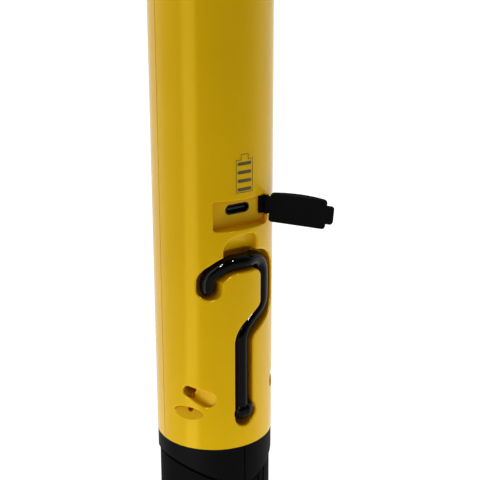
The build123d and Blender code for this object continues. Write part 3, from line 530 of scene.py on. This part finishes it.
# seen only in gloss; angles are degrees round the object, from the camera's side to its right
lamps = {
    "sparkle": {"angle": -12, "distance": 650, "height": 760, "size": (60, 60), "power": 3},
    "lowSparkle": {"angle": -12, "distance": 650, "height": 510, "size": (60, 60), "power": 3},
    "sideSparkle": {"angle": 42, "distance": 650, "height": 760, "size": (60, 60), "power": 3},
}
tent = {  # white cloth round the object, with a gap in front for the camera
    # angle: how bright the cloth looks in gloss, and how much light it gives
    "walls": {
        0: (0.01, 0),
        55: (0.01, 0),
        74: (0.08, 0.3),
        98: (0.35, 0.6),
        250: (0.35, 0.6),
        268: (0.1, 0.65),
        305: (0.08, 0.8),
        310: (1, 0.8),
        330: (1, 0.3),
        333: (0.01, 0),
    },
    "mirrored": 1.6,
    "lit": 1.0,
    "ambient": 0.245,
    "tableRadius": 2500,
    "tableSides": 64,
    "tableGlow": 1.5,  # a patch of the table, to the front and right of the foot, gives more light
    "tableSpot": (46, 76),  # angle and distance of its middle
    "tableReach": (50, 205),
    "tableSeen": 0.8,
    "tableColour": 0.5,
}
cameraSide = -31.0  # degrees round the object from -Y, where the camera stands
lookHeight = 120


def aroundObject(angle, distance, height):
    turn = radians(cameraSide + angle)
    return Vector((distance * sin(turn), -distance * cos(turn), height)) * mm


def addLamp(name, look):
    data = bpy.data.lights.new(name, "AREA")
    data.shape = "RECTANGLE"
    data.size = look["size"][0] * mm
    data.size_y = look["size"][1] * mm
    data.energy = look["power"]
    lamp = bpy.data.objects.new(name, data)
    lamp.location = aroundObject(look["angle"], look["distance"], look["height"])
    lamp.visible_diffuse = False  # the cloth lights the object, and these only glint in it
    aim = aroundObject(0, 0, lookHeight) - lamp.location
    lamp.rotation_euler = aim.to_track_quat("-Z", "Y").to_euler()
    bpy.context.scene.collection.objects.link(lamp)


def addCamera():
    data = bpy.data.cameras.new("camera")
    data.lens = camera["lens"]
    data.sensor_width = camera["sensor"]
    data.clip_start = camera["nearest"] * mm
    eye = bpy.data.objects.new("camera", data)
    turned = Matrix.Rotation(-radians(camera["turn"]), 4, "Z")
    tilted = Matrix.Rotation(pi / 2 - radians(camera["dip"]), 4, "X")
    rolled = Matrix.Rotation(radians(camera["roll"]), 4, "Z")
    eye.matrix_world = Matrix.Translation(Vector(camera["place"]) * mm) @ turned @ tilted @ rolled
    bpy.context.scene.collection.objects.link(eye)
    bpy.context.scene.camera = eye


def addTentLight(tree, place):
    # brightness towards each side, as gloss mirrors it or as matt surfaces receive it
    turned = {"Rotation": (0, 0, -radians(cameraSide + 90))}
    straight = addNode(tree, "ShaderNodeMapping", turned, {"Vector": place})
    around = addNode(
        tree,
        "ShaderNodeTexGradient",
        {"gradient_type": "RADIAL"},
        {"Vector": straight.outputs["Vector"]},
    )
    walls = addNode(tree, "ShaderNodeValToRGB", links={"Fac": around.outputs["Fac"]})
    stops = walls.color_ramp.elements
    for angle, (gloss, given) in tent["walls"].items():
        stops.new(angle / 360).color = (gloss, given, 0, 1)
    stops.remove(stops[0])
    stops[-1].color = stops[0].color
    shares = addNode(tree, "ShaderNodeSeparateColor", links={"Color": walls.outputs["Color"]})
    rays = addNode(tree, "ShaderNodeLightPath").outputs
    mirrored = addNode(
        tree,
        "ShaderNodeMath",
        {"operation": "MAXIMUM"},
        {0: rays["Is Glossy Ray"], 1: rays["Is Transmission Ray"]},
    )
    inGloss = addNode(
        tree,
        "ShaderNodeMath",
        {"operation": "MULTIPLY", 1: tent["mirrored"]},
        {0: shares.outputs["Red"]},
    )
    asLight = addNode(
        tree,
        "ShaderNodeMath",
        {"operation": "MULTIPLY_ADD", 1: tent["lit"], 2: tent["ambient"]},
        {0: shares.outputs["Green"]},
    )
    light = addNode(
        tree,
        "ShaderNodeMix",
        links={"Factor": mirrored.outputs[0], "A": asLight.outputs[0], "B": inGloss.outputs[0]},
    )
    return light.outputs["Result"], mirrored.outputs[0], rays["Is Camera Ray"]


def seenAs(tree, white, light, cameraRay):  # this white to the camera, this light to all else
    return addNode(
        tree, "ShaderNodeMix", {"B": white}, {"Factor": cameraRay, "A": light}
    ).outputs["Result"]


def addWorld():
    world = bpy.data.worlds.new("studio")
    bpy.context.scene.world = world
    world.use_nodes = True
    tree = world.node_tree
    tree.nodes.clear()
    towards = addNode(tree, "ShaderNodeTexCoord").outputs["Generated"]
    light, _, cameraRay = addTentLight(tree, towards)
    strength = seenAs(tree, 1.0, light, cameraRay)
    sky = addNode(tree, "ShaderNodeBackground", {"Color": (1, 1, 1, 1)}, {"Strength": strength})
    addNode(tree, "ShaderNodeOutputWorld", links={"Surface": sky.outputs[0]})


def addFloor():
    # white table: seen as white, and darker only where the object's shadow falls
    shape = bmesh.new()
    sides, radius = tent["tableSides"], tent["tableRadius"] * mm
    bmesh.ops.create_circle(shape, cap_ends=True, segments=sides, radius=radius)
    mesh = bpy.data.meshes.new("floor")
    shape.to_mesh(mesh)
    shape.free()
    floor = bpy.data.objects.new("floor", mesh)
    bpy.context.scene.collection.objects.link(floor)
    material = bpy.data.materials.new("whiteTable")
    material.use_nodes = True
    tree = material.node_tree
    tree.nodes.clear()
    place = addNode(tree, "ShaderNodeTexCoord").outputs["Object"]
    light, mirrored, cameraRay = addTentLight(tree, place)
    spot = aroundObject(*tent["tableSpot"], 0)
    away = addNode(tree, "ShaderNodeVectorMath", {"operation": "DISTANCE", 1: spot}, {0: place})
    nearReach, farReach = tent["tableReach"]
    fading = {"From Min": nearReach * mm, "From Max": farReach * mm}
    fading.update({"To Min": tent["tableGlow"], "To Max": 0})
    nearby = addNode(tree, "ShaderNodeMapRange", fading, {"Value": away.outputs["Value"]})
    unmirrored = addNode(tree, "ShaderNodeMath", {"operation": "SUBTRACT", 0: 1.0}, {1: mirrored})
    total = addNode(
        tree,
        "ShaderNodeMath",
        {"operation": "MULTIPLY_ADD"},
        {0: nearby.outputs["Result"], 1: unmirrored.outputs[0], 2: light},
    )
    strength = seenAs(tree, tent["tableSeen"], total.outputs[0], cameraRay)
    glow = addNode(tree, "ShaderNodeEmission", {"Color": (1, 1, 1, 1)}, {"Strength": strength})
    grey = tent["tableColour"]
    matt = addNode(tree, "ShaderNodeBsdfDiffuse", {"Color": (grey, grey, grey, 1)})
    both = addNode(tree, "ShaderNodeAddShader", links={0: matt.outputs[0], 1: glow.outputs[0]})
    addNode(tree, "ShaderNodeOutputMaterial", links={"Surface": both.outputs[0]})
    mesh.materials.append(material)


addCamera()
for lampName, lampLook in lamps.items():
    addLamp(lampName, lampLook)
addWorld()
addFloor()
bpy.context.scene.view_settings.view_transform = "Standard"
print("studio ready")
